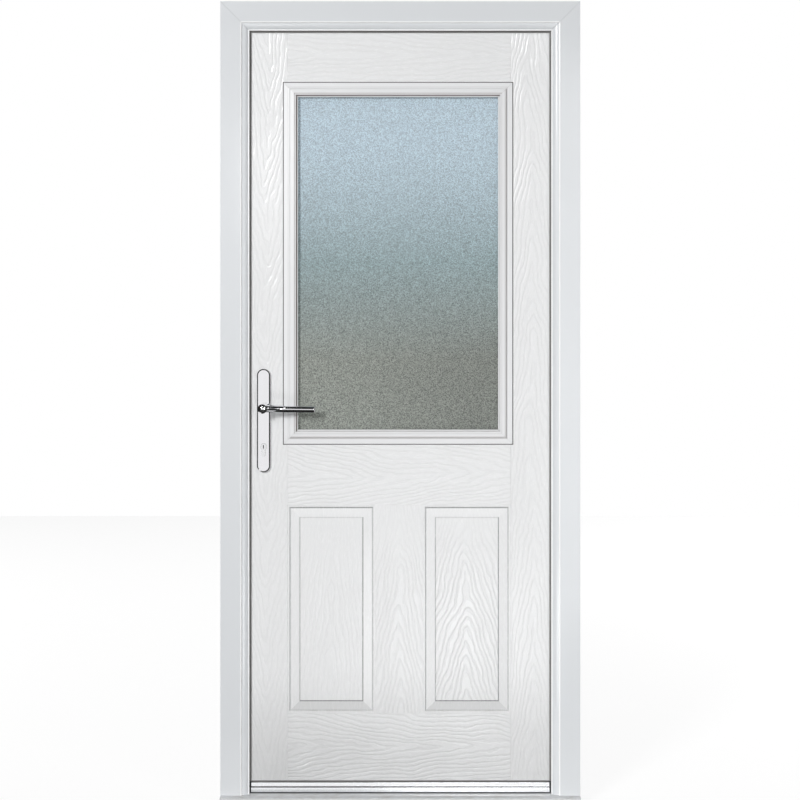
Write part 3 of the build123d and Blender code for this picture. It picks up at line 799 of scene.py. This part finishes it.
surface = place_group(
    tree, moulded_surface, Place=place, Colour=skin_white, Roughness=skin_roughness,
    Tone_Spread=skin_tone, Gloss_Spread=skin_gloss,
)
dusty = place_group(tree, settled_dust, Place=place, Colour=surface.outputs["Colour"], Amount=ledge_dust)
shade = calc(tree, "MULTIPLY_ADD", pressed_rings, -ring_shade, 1.0)
shade = calc(tree, "MULTIPLY_ADD", joints, -joint_shade, shade)
shade = calc(tree, "SUBTRACT", shade, painted_quirk_shade)
shade = calc(tree, "MULTIPLY", shade, calc(tree, "SUBTRACT", 1.0, painted_foot_shade))
feed(tree, tone_colour(tree, dusty.outputs["Colour"], shade), shader.inputs["Base Color"])
gloss = calc(tree, "MULTIPLY_ADD", figure.outputs["Pores"], pore_dulling, surface.outputs["Roughness"])
feed(tree, gloss, shader.inputs["Roughness"])
height = calc(tree, "MULTIPLY", pressed_rings, -ring_relief)
height = calc(tree, "MULTIPLY_ADD", figure.outputs["Pores"], -pore_relief, height)
height = calc(tree, "MULTIPLY_ADD", joints, -joint_relief, height)
bump(tree, height, skin_relief, shader)
dress(pressed_skin, "outer_skin", "inner_skin")


# Glazing cassette
# A moulded white frame on each face, mitred at the corners, with the glass clamped between the two.
# It is smoother than the skin. Dust lies along its lower ledge, and shade is painted in the lines of its
# moulding, darker in the inner lines at the lock side and head, and broad in the hollow at the hinge side
# and foot.

cassette_white = (0.80, 0.805, 0.815, 1.0)
cassette_roughness = 0.30
mitre_width = 0.0009
mitre_shade = 0.10
cove_inset = 0.0112
cove_shade = 0.20
hollow_inset = 0.0165
hollow_half = 0.0042
hollow_shade = 0.27
groove_inset = 0.0278
groove_dim_shade = 0.46
groove_lit_shade = 0.11
step_inset = 0.0328
step_half = 0.0016
step_dim_shade = 0.95
step_lit_shade = 0.16
moulding_half = 0.0012
# The colour of the painted shade in the moulding's lines
moulding_shade_brown = (0.20, 0.155, 0.145, 1.0)
cassette_low, cassette_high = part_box("outer_glazing_frame")
cassette_middle = (cassette_low + cassette_high) / 2.0
cassette_half = (cassette_high - cassette_low) / 2.0

cassette_plastic, tree, shader = start_material("white_cassette")
place = object_place(tree)
x, y, z = split(tree, place)
surface = place_group(
    tree, moulded_surface, Place=place, Colour=cassette_white, Roughness=cassette_roughness
)
dusty = place_group(tree, settled_dust, Place=place, Colour=surface.outputs["Colour"], Amount=ledge_dust)
mitre = corner_line(
    tree, place, cassette_middle.x, cassette_middle.z, cassette_half.x - cassette_half.z, mitre_width
)
mitre_tone = calc(tree, "MULTIPLY_ADD", mitre, -mitre_shade, 1.0)
inset, sides = nearest_side(
    tree, x, z, cassette_middle.x, cassette_middle.z, cassette_half.x, cassette_half.z
)
# Painted shade along the moulding's lines, weighted by side
moulding_shade = 0.0
for line_inset, line_half, dim_shade, lit_shade in (
    (cove_inset, moulding_half, cove_shade, 0.0),
    (hollow_inset, hollow_half, 0.0, hollow_shade),
    (groove_inset, moulding_half, groove_dim_shade, groove_lit_shade),
    (step_inset, step_half, step_dim_shade, step_lit_shade),
):
    line_shade = side_shade(tree, sides, dim_shade, lit_shade, lit_shade, dim_shade)
    line = line_at(tree, inset, line_inset, line_half)
    moulding_shade = calc(tree, "MULTIPLY_ADD", line, line_shade, moulding_shade)
moulding_shaded = blend_colour(tree, moulding_shade, dusty.outputs["Colour"], moulding_shade_brown)
feed(tree, tone_colour(tree, moulding_shaded, mitre_tone), shader.inputs["Base Color"])
feed(tree, surface.outputs["Roughness"], shader.inputs["Roughness"])
peel = calc(tree, "MULTIPLY", surface.outputs["Height"], pvcu_peel_depth / weld_depth)
bump(tree, calc(tree, "SUBTRACT", peel, mitre), weld_depth, shader)
dress(cassette_plastic, "outer_glazing_frame", "inner_glazing_frame")


# Cassette bedding
# A soft grey-brown strip under the rim of each cassette half, squeezed out a little as the screws pull it
# down. It keeps the rain out and shows as a fine dark outline.

bedding_brown = (0.060, 0.052, 0.050, 1.0)
bedding_squeeze = 0.0022
bedding_tuck = 0.0008
bedding_height = 0.0006
bedding_shoulder = 0.6
bedding_edge = 0.4

bedding_rubber = moulded_material(
    "bedding_rubber", bedding_brown, rubber_roughness, rubber_relief, Tone_Spread=rubber_tone
)


def add_bedding(mesh, face_y, side):
    """A closed strip round the cassette, on the leaf's face, with its outer edge eased down."""
    rings = []
    for spread, lift in (
        (-bedding_tuck, 0.0),
        (-bedding_tuck, bedding_height),
        (bedding_squeeze * bedding_shoulder, bedding_height),
        (bedding_squeeze, bedding_height * bedding_edge),
        (bedding_squeeze, 0.0),
    ):
        ring = []
        for corner_x, corner_z in ((-1.0, -1.0), (1.0, -1.0), (1.0, 1.0), (-1.0, 1.0)):
            x = cassette_middle.x + corner_x * (cassette_half.x + spread)
            z = cassette_middle.z + corner_z * (cassette_half.z + spread)
            ring.append(mesh.verts.new((x, face_y + side * lift, z)))
        rings.append(ring)
    for first, second in zip(rings, rings[1:] + rings[:1]):
        join_rings(mesh, first, second)


for bedding_name, face_y, side in (
    ("outer_cassette_bedding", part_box("outer_skin")[0].y, -1.0),
    ("inner_cassette_bedding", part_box("inner_skin")[1].y, 1.0),
):
    bedding_mesh = bmesh.new()
    add_bedding(bedding_mesh, face_y, side)
    new_piece(bedding_name, bedding_mesh, bedding_rubber, "leaf")


# Sealed glass unit
# An outer pane of fine stippled privacy glass and an inner clear one, with an aluminium spacer between them.
# The outer pane's colour is a painted reflection, cooler towards the top and paler at the foot on
# the lock side.

# Painted reflection down the outer pane, from a cool top to a dark foot
reflected_top = (0.635, 0.76, 0.85, 1.0)
reflected_middle = (0.375, 0.48, 0.50, 1.0)
reflected_foot = (0.312, 0.333, 0.302, 1.0)
tint_foot = 0.12
tint_middle = 0.5
tint_top = 0.95
foot_lock_tone = 1.16
foot_hinge_tone = 0.88
foot_reach = 0.4
stipple_size = 560.0
stipple_low = 0.33
stipple_high = 0.67
stipple_tone = 0.70
foot_stipple_tone = 1.25
stipple_depth = 0.0005
stipple_dulling = 0.1
obscured_roughness = 0.32
obscured_transmission = 0.35
glass_ior = 1.5
clear_tint = (0.86, 0.91, 0.90, 1.0)
clear_roughness = 0.01
clear_transmission = 0.95
smear_scale = 6.0
smear_detail = 3.0
smear_amount = 0.04
spacer_grey = (0.60, 0.62, 0.64, 1.0)
spacer_roughness = 0.4
spacer_lines = (300.0, 300.0, 300.0)
glass_low, glass_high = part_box("outer_pane")

obscured_glass, tree, shader = start_material("stippled_privacy_glass")
place = object_place(tree)
x, y, z = split(tree, place)
rise = remap(tree, z, glass_low.z, glass_high.z)
fade = tree.nodes.new("ShaderNodeValToRGB")
foot_stop, top_stop = fade.color_ramp.elements
foot_stop.color = reflected_foot
foot_stop.position = tint_foot
top_stop.color = reflected_top
top_stop.position = tint_top
fade.color_ramp.elements.new(tint_middle).color = reflected_middle
feed(tree, rise, fade.inputs["Fac"])
stipple = remap(tree, noise(tree, place, stipple_size), stipple_low, stipple_high)
sparkle = vary(tree, stipple, choose(tree, rise, foot_stipple_tone, stipple_tone), 1.0)
# Painted reflection, paler at the foot on the lock side
foot_tone = remap(tree, x, glass_low.x, glass_high.x, foot_lock_tone, foot_hinge_tone)
above_foot = remap(tree, rise, 0.0, foot_reach)
sparkle = calc(tree, "MULTIPLY", sparkle, choose(tree, above_foot, foot_tone, 1.0))
feed(tree, tone_colour(tree, fade.outputs["Color"], sparkle), shader.inputs["Base Color"])
gloss = calc(tree, "MULTIPLY_ADD", stipple, stipple_dulling, obscured_roughness)
feed(tree, gloss, shader.inputs["Roughness"])
shader.inputs["Transmission Weight"].default_value = obscured_transmission
shader.inputs["IOR"].default_value = glass_ior
bump(tree, stipple, stipple_depth, shader)
dress(obscured_glass, "outer_pane")

clear_glass, tree, shader = start_material("clear_float_glass")
smear = noise(tree, object_place(tree), smear_scale, smear_detail)
smear_tone = calc(tree, "MULTIPLY_ADD", smear, -smear_amount, 1.0)
feed(tree, tone_colour(tree, clear_tint, smear_tone), shader.inputs["Base Color"])
gloss = calc(tree, "MULTIPLY_ADD", smear, smear_amount, clear_roughness)
feed(tree, gloss, shader.inputs["Roughness"])
shader.inputs["Transmission Weight"].default_value = clear_transmission
shader.inputs["IOR"].default_value = glass_ior
dress(clear_glass, "inner_pane")

spacer_metal = drawn_material(
    "spacer_aluminium", spacer_grey, spacer_roughness, spacer_lines, rolled_depth
)
dress(spacer_metal, "spacer_bar")


# Lock strip and latch
# A long plated steel strip let into the leaf's lock edge, with the latch bolt in it.
# It is held by countersunk screws, evenly spaced along it.

strip_screw_spacing = 0.30
strip_end_inset = 0.018
dress(plated_steel, "lock_strip", "latch_bolt", "spindle")

strip_low, strip_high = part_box("lock_strip")
strip_middle_y = (strip_low.y + strip_high.y) / 2.0
strip_height = strip_high.z - strip_low.z
screw_run = strip_height - 2.0 * strip_end_inset
screw_count = int(strip_height / strip_screw_spacing)
strip_screws = bmesh.new()
for step in range(screw_count + 1):
    screw_z = strip_low.z + strip_end_inset + screw_run * step / screw_count
    add_screw(strip_screws, (strip_low.x, strip_middle_y, screw_z), (-1.0, 0.0, 0.0))
new_piece("lock_strip_screws", strip_screws, plated_steel, "leaf")


# Handle backplates
# A long chromed zinc plate on each face, round at both ends with bevelled edges, bolted through the leaf.
# The bolts' heads show on the inside only. The chrome is bright, with faint wiping marks.

chrome_grey = (0.82, 0.82, 0.84, 1.0)
chrome_roughness = 0.07
chrome_tone = 0.05
wipe_marks = (90.0, 90.0, 40.0)
wipe_spread = 0.08
bolt_inset = 0.016

polished_chrome = drawn_material(
    "polished_chrome", chrome_grey, chrome_roughness, wipe_marks,
    Tone_Spread=chrome_tone, Gloss_Spread=wipe_spread,
)
dress(polished_chrome, "outer_backplate", "inner_backplate")

plate_low, plate_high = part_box("inner_backplate")
plate_middle_x = (plate_low.x + plate_high.x) / 2.0
plate_bolts = bmesh.new()
for bolt_z in (plate_low.z + bolt_inset, plate_high.z - bolt_inset):
    add_screw(plate_bolts, (plate_middle_x, plate_high.y, bolt_z), (0.0, 1.0, 0.0))
new_piece("backplate_bolts", plate_bolts, polished_chrome, "leaf")


# Levers
# A cast and chromed lever on each end of the square spindle: a round hub with a domed face,
# and a bar that swings out of it, runs level over the stile and ends in a dome.

hub_radius = 0.012
hub_rise = 0.0042
hub_clearance = 0.0003
hub_proud = 0.0012
neck_radius = 0.008
bar_root_radius = 0.0092
bar_tip_radius = 0.0084
bar_droop = 0.0015
bar_steps = 160
swing_run = 0.060
swing_depth = 0.010
tip_dome_share = 0.75
tip_dome = bar_tip_radius * tip_dome_share
lathe_sides = 48
dome_steps = 14


def add_lathe(mesh, profile, base, axis):
    """A turned solid: pairs of distance along an axis from a base point, and radius there."""
    pose = pose_along(base, axis)
    rings = [circle(lathe_sides, radius, run) for run, radius in profile]
    add_tube(mesh, [[pose @ corner for corner in ring] for ring in rings])


def domed_end(run, radius, rise):
    """The end of a turned profile as a low dome that rises to this run, almost closed at its middle."""
    shares = [1.0 - step / dome_steps for step in range(dome_steps)]
    return [(run - rise * share * share, radius * share) for share in shares]


def add_bar(mesh, path):
    """A round bar that tapers along its path and ends in a dome at the last point."""
    rings = []
    last = len(path) - 1
    for index, point in enumerate(path):
        heading = path[min(index + 1, last)] - path[max(index - 1, 0)]
        turn = heading.to_track_quat("Z", "Y").to_matrix()
        radius = bar_root_radius + (bar_tip_radius - bar_root_radius) * index / last
        to_end = (path[last] - point).length
        if to_end < tip_dome:
            radius += math.sqrt(tip_dome * tip_dome - (tip_dome - to_end) ** 2) - tip_dome
        rings.append([point + turn @ corner for corner in circle(lathe_sides, radius, 0.0)])
    add_tube(mesh, rings)


leaf_middle_y = (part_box("outer_skin")[0].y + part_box("inner_skin")[1].y) / 2.0
spindle_low, spindle_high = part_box("spindle")
spindle_x = (spindle_low.x + spindle_high.x) / 2.0
spindle_z = (spindle_low.z + spindle_high.z) / 2.0
for lever_name, side in (("outer_lever", -1.0), ("inner_lever", 1.0)):
    lever_low, lever_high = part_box(lever_name)
    plate_low, plate_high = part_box(lever_name.replace("lever", "backplate"))
    plate_foot, plate_face = sorted(abs(y - leaf_middle_y) for y in (plate_low.y, plate_high.y))
    hub_face = max(abs(y - leaf_middle_y) for y in (lever_low.y, lever_high.y))
    hub_back = plate_face + hub_clearance
    profile = [(plate_foot, neck_radius), (hub_back, neck_radius), (hub_back, hub_radius)]
    profile += domed_end(hub_face, hub_radius, hub_rise)
    lever_mesh = bmesh.new()
    add_lathe(lever_mesh, profile, (spindle_x, leaf_middle_y, spindle_z), (0.0, side, 0.0))
    bar_depth = hub_face - bar_root_radius - hub_proud
    bar_length = lever_high.x - spindle_x
    path = []
    for step in range(bar_steps + 1):
        run = bar_length * step / bar_steps
        swing = 0.5 + 0.5 * math.cos(math.pi * min(run / swing_run, 1.0))
        bar_y = leaf_middle_y + side * (bar_depth - swing_depth * swing)
        path.append(Vector((spindle_x + run, bar_y, spindle_z - bar_droop * run / bar_length)))
    add_bar(lever_mesh, path)
    lever = new_piece(f"{lever_name}_cast", lever_mesh, polished_chrome, "lever")
    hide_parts(lever_name)


# Lock cylinder
# A brass profile cylinder with a satin nickel finish, through both plates below the levers.
# Each end has a plug with a keyway, and the outside plug turns with the key.
# Inside each keyway a near-black block just below the plug's face is painted shadow.

nickel_grey = (0.82, 0.825, 0.84, 1.0)
nickel_roughness = 0.18
nickel_tone = 0.18
ground_lines = (1200.0, 60.0, 60.0)
# Painted shadow inside the keyways
keyway_shadow_black = (0.03, 0.029, 0.028, 1.0)
keyway_shadow_roughness = 0.35
keyway_shadow_tone = 0.4
keyway_shadow_width = 0.0022
keyway_shadow_height = 0.0088
keyway_shadow_below = 0.0006
keyway_shadow_deep = 0.004

satin_nickel = drawn_material(
    "satin_nickel", nickel_grey, nickel_roughness, ground_lines, rolled_depth, Tone_Spread=nickel_tone
)
dress(satin_nickel, "lock_cylinder", "outer_key_plug", "inner_key_plug")
keyway_shadow_paint = moulded_material(
    "oiled_lock_pins", keyway_shadow_black, keyway_shadow_roughness, rubber_relief, Tone_Spread=keyway_shadow_tone
)

for plug, side, body in (("outer_key_plug", -1.0, "key_plug"), ("inner_key_plug", 1.0, "leaf")):
    plug_low, plug_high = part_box(plug)
    plug_middle = (plug_low + plug_high) / 2.0
    plug_face = plug_low.y if side < 0.0 else plug_high.y
    near = plug_face - side * keyway_shadow_below
    far = plug_face - side * keyway_shadow_deep
    foot = plug_middle.z - keyway_shadow_height / 2.0
    top = plug_middle.z + keyway_shadow_height / 2.0
    keyway_shadow_mesh = bmesh.new()
    add_run(
        keyway_shadow_mesh, [(near, foot), (near, top), (far, top), (far, foot)],
        plug_middle.x - keyway_shadow_width / 2.0, plug_middle.x + keyway_shadow_width / 2.0,
    )
    new_piece(f"{plug}_pins", keyway_shadow_mesh, keyway_shadow_paint, body)


# Hinges
# Three flag hinges on the inside face, cast and powder coated white, one flag on the frame and one on the
# leaf. A steel pin with rounded ends joins them, and each flag is held by three countersunk screws.

powder_white = (0.79, 0.81, 0.825, 1.0)
powder_roughness = 0.38
powder_relief = 0.00012
pin_round = 0.0016
round_steps = 6
flag_thickness = 0.005
flag_screw_inset = 0.016

powder_coat = moulded_material(
    "white_powder_coat", powder_white, powder_roughness, powder_relief, ledge_dust
)


def rounded_end(run, radius, soft):
    """The end of a turned profile, from its full radius in to its face round a quarter circle."""
    angles = [math.pi / 2.0 * step / round_steps for step in range(round_steps + 1)]
    return [(run - soft + soft * math.sin(a), radius - soft + soft * math.cos(a)) for a in angles]


flag_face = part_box("inner_skin")[1].y + flag_thickness
for hinge in ("upper", "middle", "lower"):
    pin_low, pin_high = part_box(f"{hinge}_hinge_pin")
    pin_middle = (pin_low + pin_high) / 2.0
    pin_radius = (pin_high.x - pin_low.x) / 2.0
    half = (pin_high.z - pin_low.z) / 2.0
    top_end = rounded_end(half, pin_radius, pin_round)
    foot_end = [(-run, radius) for run, radius in reversed(top_end)]
    pin_mesh = bmesh.new()
    add_lathe(pin_mesh, foot_end + top_end, pin_middle, (0.0, 0.0, 1.0))
    pin = new_piece(f"{hinge}_hinge_pin_turned", pin_mesh, plated_steel, "frame")
    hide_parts(f"{hinge}_hinge_pin")
    for holder, body in (("frame", "frame"), ("door", "leaf")):
        flag = f"{hinge}_hinge_{holder}_flag"
        dress(powder_coat, flag)
        flag_low, flag_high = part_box(flag)
        screw_x = flag_low.x + flag_screw_inset
        if holder == "frame":
            screw_x = flag_high.x - flag_screw_inset
        flag_screws = bmesh.new()
        for step in (-1.0, 0.0, 1.0):
            screw_z = pin_middle.z + step * (half - flag_screw_inset)
            add_screw(flag_screws, (screw_x, flag_face, screw_z), (0.0, 1.0, 0.0))
        new_piece(f"{flag}_screws", flag_screws, plated_steel, body)


# Studio
# A plain pale floor under a white surround, a soft key lamp high on the left, and weaker ones in front and
# on both sides behind. Dark cards at the sides, overhead, on the floor and under the outside lever, seen
# only in reflections, give the chrome its dark lines.

white = (1.0, 1.0, 1.0, 1.0)
matt_roughness = 0.9
floor_colour = (0.20, 0.20, 0.20, 1.0)
floor_half = 5.5
floor_squares = 8
floor_lift = 0.755
floor_patch_scale = 3.0
floor_patch = 0.02
surround_level = 0.22
door_middle = (0.0, 0.0, 1.05)


def seen_directly(tree):
    """1 for what is seen straight, in a reflection or through glass, and 0 for light on surfaces."""
    rays = tree.nodes.new("ShaderNodeLightPath")
    seen = calc(tree, "MAXIMUM", rays.outputs["Is Camera Ray"], rays.outputs["Is Glossy Ray"])
    return calc(tree, "MAXIMUM", seen, rays.outputs["Is Transmission Ray"])


def add_stage(name, mesh, material):
    """A piece of the studio from a bmesh, which isn't part of the door."""
    data = bpy.data.meshes.new(name)
    mesh.to_mesh(data)
    mesh.free()
    data.materials.append(material)
    piece = bpy.data.objects.new(name, data)
    bpy.context.scene.collection.objects.link(piece)
    return piece


floor_paint, tree, shader = start_material("pale_floor")
floor_patches = noise(tree, object_place(tree), floor_patch_scale)
floor_tone = calc(tree, "MULTIPLY_ADD", floor_patches, floor_patch, 1.0 - floor_patch)
feed(tree, tone_colour(tree, floor_colour, floor_tone), shader.inputs["Base Color"])
shader.inputs["Roughness"].default_value = matt_roughness
shader.inputs["Emission Color"].default_value = white
feed(tree, calc(tree, "MULTIPLY", seen_directly(tree), floor_lift), shader.inputs["Emission Strength"])
sheet = bmesh.new()
bmesh.ops.create_grid(sheet, x_segments=floor_squares, y_segments=floor_squares, size=floor_half)
add_stage("studio_floor", sheet, floor_paint)

world = bpy.data.worlds.new("white_surround")
bpy.context.scene.world = world
world.use_nodes = True
tree = world.node_tree
backdrop = tree.nodes["Background"]
backdrop.inputs["Color"].default_value = white
level = calc(tree, "MULTIPLY_ADD", seen_directly(tree), 1.0 - surround_level, surround_level)
feed(tree, level, backdrop.inputs["Strength"])


def soft_lamp(name, place, target, width, height, brightness):
    """A soft lamp of this size, aimed at a point, as bright as this many times a white sheet."""
    lamp_data = bpy.data.lights.new(name, "AREA")
    lamp_data.shape = "RECTANGLE"
    lamp_data.size = width
    lamp_data.size_y = height
    lamp_data.energy = brightness * math.pi * width * height
    lamp = bpy.data.objects.new(name, lamp_data)
    lamp.location = place
    lamp.rotation_euler = (Vector(target) - Vector(place)).to_track_quat("-Z", "Y").to_euler()
    lamp.visible_camera = False
    bpy.context.scene.collection.objects.link(lamp)


soft_lamp(
    "key_lamp", place=(-3.4, -7.4, 3.6), target=door_middle, width=1.6, height=1.6, brightness=52.0
)
soft_lamp(
    "back_right_lamp", place=(4.4, 4.6, 3.0), target=door_middle, width=2.4, height=2.4, brightness=14.0
)
soft_lamp(
    "back_left_lamp", place=(-5.5, 3.0, 2.6), target=door_middle, width=2.4, height=2.4, brightness=10.0
)
soft_lamp(
    "right_lamp", place=(2.3, -2.9, 1.5), target=door_middle, width=0.9, height=2.2, brightness=2.2
)
soft_lamp(
    "right_strip_lamp", place=(0.575, -1.5, 1.15), target=(0.43, 0.0, 1.15),
    width=0.10, height=1.9, brightness=3.6,
)
soft_lamp(
    "left_glow_lamp", place=(-0.41, -0.85, 1.64), target=(-0.38, 0.0, 1.57),
    width=0.12, height=0.34, brightness=4.2,
)
soft_lamp(
    "middle_glow_lamp", place=(0.20, -1.30, 0.20), target=(0.13, 0.0, 0.42),
    width=0.45, height=0.42, brightness=5.9,
)

card_grey = 0.015
card_patch_scale = 4.0
card_patch = 0.01
card_side = 1.6
card_foot = 0.004
card_top = 2.7
lever_card_gap = 0.028
plate_card_gap = 0.002
cards = bmesh.new()


def side_card(x, front, back):
    """An upright card along one side of the studio."""
    corners = ((x, front, card_foot), (x, back, card_foot), (x, back, card_top), (x, front, card_top))
    cards.faces.new([cards.verts.new(corner) for corner in corners])


def level_card(left, right, front, back, height):
    """A level card at this height."""
    corners = ((left, front), (right, front), (right, back), (left, back))
    cards.faces.new([cards.verts.new((x, y, height)) for x, y in corners])


side_card(-card_side, front=-3.4, back=-0.3)
side_card(card_side, front=-2.2, back=-0.3)
level_card(-card_side, card_side, front=-7.0, back=0.6, height=card_top)
level_card(-card_side, card_side, front=-5.0, back=-0.60, height=card_foot)
level_card(left=-0.42, right=-0.16, front=-0.55, back=-0.04, height=0.75)
under_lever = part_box("outer_lever")[0].z - lever_card_gap
beside_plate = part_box("outer_backplate")[1].x + plate_card_gap
level_card(beside_plate, right=-0.19, front=-0.20, back=-0.028, height=under_lever)

card_paint, tree, shader = start_material("dark_card")
card_patches = noise(tree, object_place(tree), card_patch_scale)
feed(tree, calc(tree, "MULTIPLY_ADD", card_patches, card_patch, card_grey), shader.inputs["Base Color"])
shader.inputs["Roughness"].default_value = matt_roughness
dark_cards = add_stage("dark_cards", cards, card_paint)
dark_cards.visible_camera = False
dark_cards.visible_diffuse = False
dark_cards.visible_transmission = False
dark_cards.visible_shadow = False

# The camera stands level with the upper half of the door, and its shift brings the whole door into view
camera_place = (-0.0008, -4.535, 1.35)
camera_sensor = 36.0
camera_lens = 79.24
camera_shift = -0.1511
camera_data = bpy.data.cameras.new("photo_camera")
camera_data.sensor_width = camera_sensor
camera_data.lens = camera_lens
camera_data.shift_y = camera_shift
camera = bpy.data.objects.new("photo_camera", camera_data)
camera.location = camera_place
camera.rotation_euler = (math.radians(90.0), 0.0, 0.0)
bpy.context.scene.collection.objects.link(camera)
bpy.context.scene.camera = camera
bpy.context.scene.view_settings.view_transform = "Standard"
